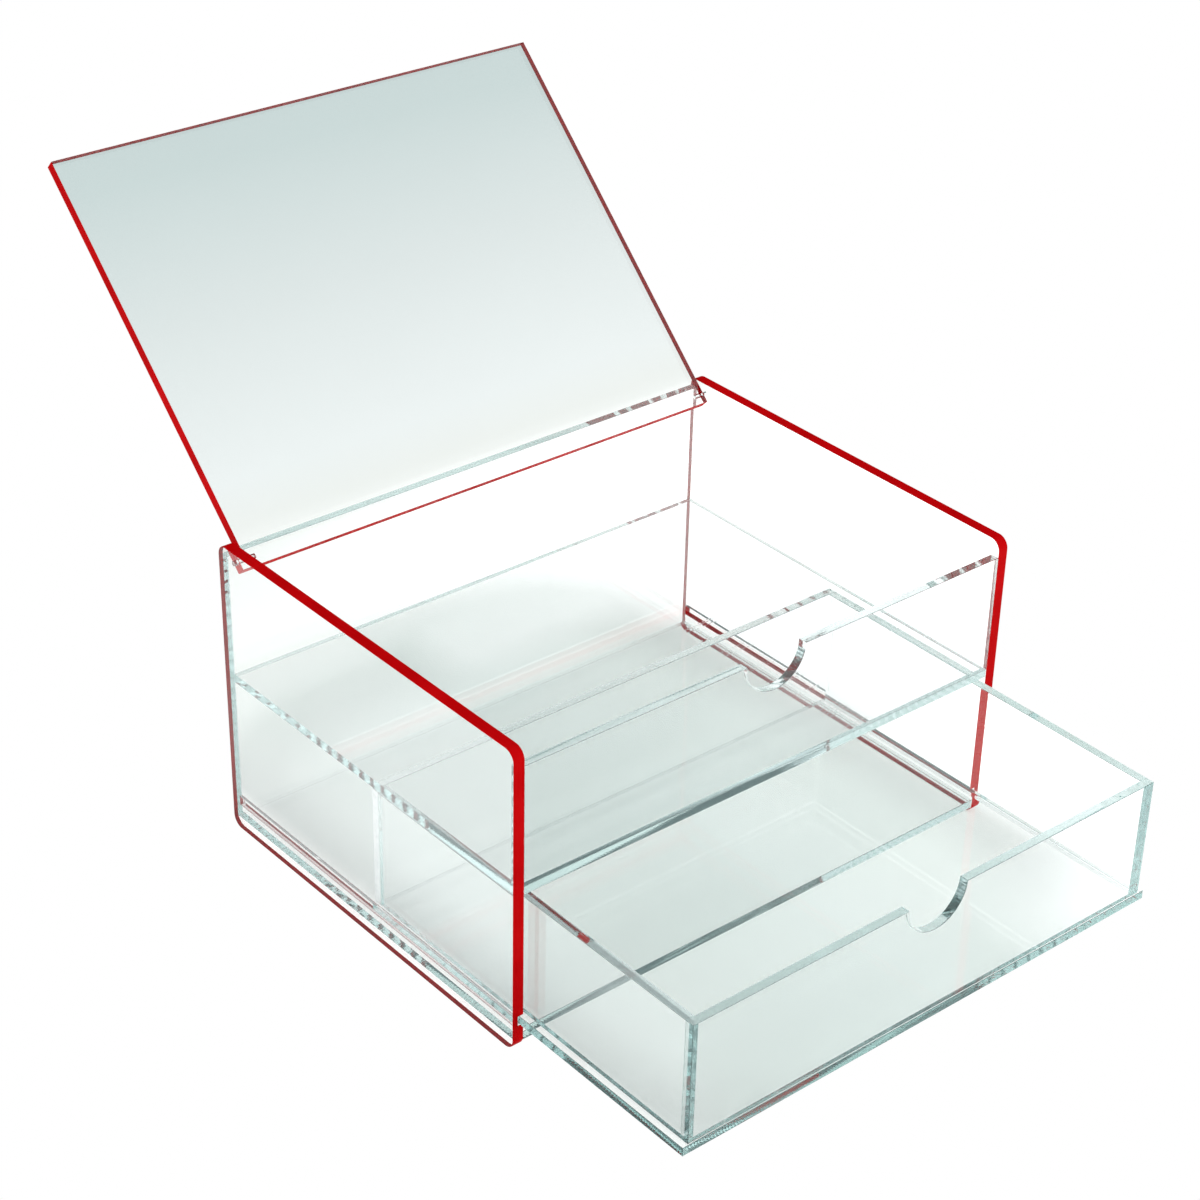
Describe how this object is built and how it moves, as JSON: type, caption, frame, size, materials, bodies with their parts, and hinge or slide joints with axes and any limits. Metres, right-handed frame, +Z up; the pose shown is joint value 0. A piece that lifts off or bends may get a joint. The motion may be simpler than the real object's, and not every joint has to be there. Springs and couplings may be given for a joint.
{
  "type": "desk organizer",
  "caption": "Clear acrylic desk organizer box with red edges: an open upper tray under a hinged lid, and a sliding drawer below, each front with a half-round finger notch.",
  "frame": {"origin": "table level, under the middle of the whole outline as stored, with the lid open and the drawer pulled half out; the case itself runs from y = -0.1087 to y = +0.0793", "axes": "+X to the right seen from the front, +Y towards the back, +Z up; the drawer pulls out towards -Y and the lid folds back towards +Y"},
  "size_m": [0.25, 0.4013, 0.2529],
  "materials": {
    "clear_side_red_edge": "polished clear sheet, edges painted red",
    "clear_panel": "polished clear sheet, sawn edges polished",
    "clear_lid_red_edge": "polished clear sheet, edges painted red",
    "clear_drawer": "polished clear sheet, sawn edges polished",
    "clear_rod": "clear extruded rod"
  },
  "bodies": {
    "case": {"left_side_panel": "clear_side_red_edge", "right_side_panel": "clear_side_red_edge", "base_panel": "clear_panel", "back_panel": "clear_panel", "shelf_panel": "clear_panel", "tray_front_panel": "clear_panel", "left_hinge_pin": "clear_rod", "right_hinge_pin": "clear_rod"},
    "lid": {"lid_panel": "clear_lid_red_edge"},
    "drawer": {"drawer_floor": "clear_drawer", "drawer_left_wall": "clear_drawer", "drawer_right_wall": "clear_drawer", "drawer_back_wall": "clear_drawer", "drawer_front_wall": "clear_drawer"}
  },
  "joints": [
    {"name": "lid_hinge", "type": "hinge", "parent": "case", "child": "lid", "pos_m": [0, 0.06975, 0.1285], "axis": [1, 0, 0], "range_deg": [0, 136.2]},
    {"name": "drawer_slide", "type": "slide", "parent": "case", "child": "drawer", "axis": [0, -1, 0], "range_m": [-0.092, 0.058]}
  ]
}
